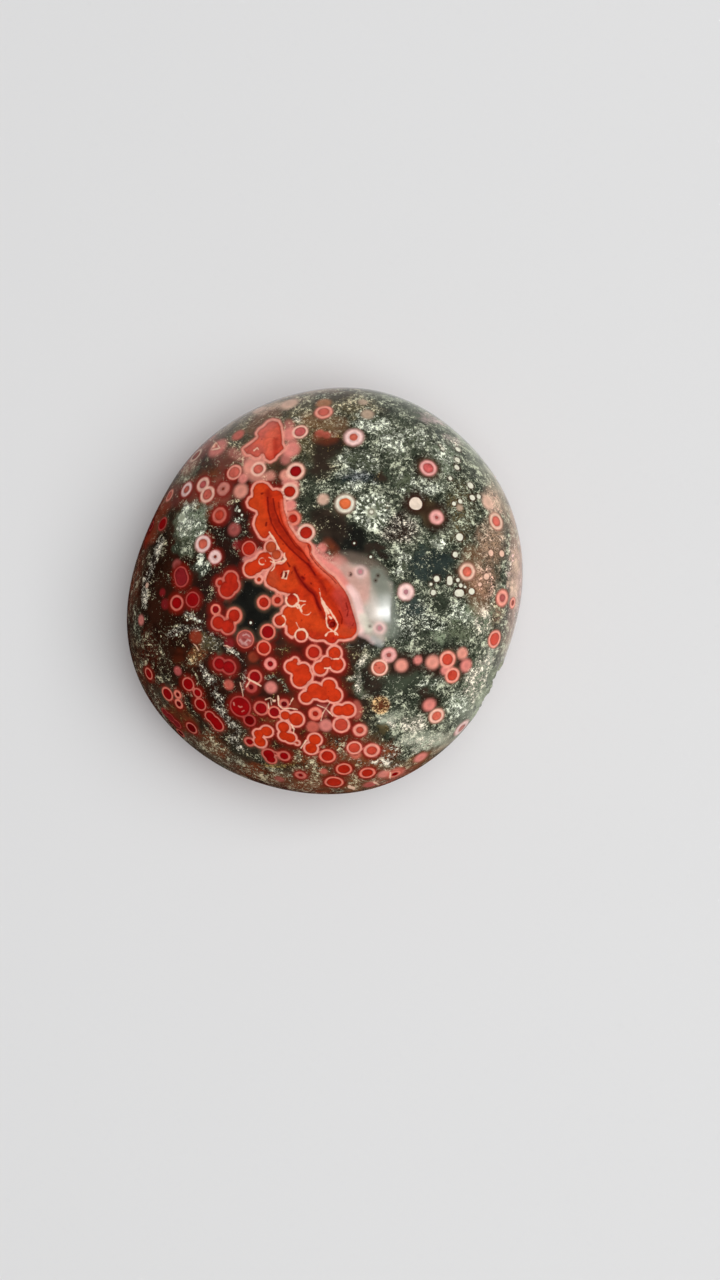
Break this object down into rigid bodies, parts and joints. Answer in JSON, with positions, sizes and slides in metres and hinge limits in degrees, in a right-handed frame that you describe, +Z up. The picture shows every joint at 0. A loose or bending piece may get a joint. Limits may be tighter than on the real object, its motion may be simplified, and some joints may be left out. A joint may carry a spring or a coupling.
{
  "type": "ocean jasper palm stone",
  "caption": "Polished ocean jasper palm stone, a rounded pebble with a domed face patterned with red and pink orbs, resting on a small flat spot of its back.",
  "frame": {"origin": "middle of the small flat spot on the back, under the middle of the outline", "axes": "+Z up out of the patterned face, +Y towards the top of the face, +X towards its right"},
  "size_m": [0.0722, 0.0738, 0.0339],
  "materials": {
    "polished_jasper": "polished orbicular chalcedony: red and orange orbs with pale pink rims in dark green, mossy and brown ground"
  },
  "bodies": {
    "root": {"stone": "polished_jasper"}
  },
  "joints": []
}
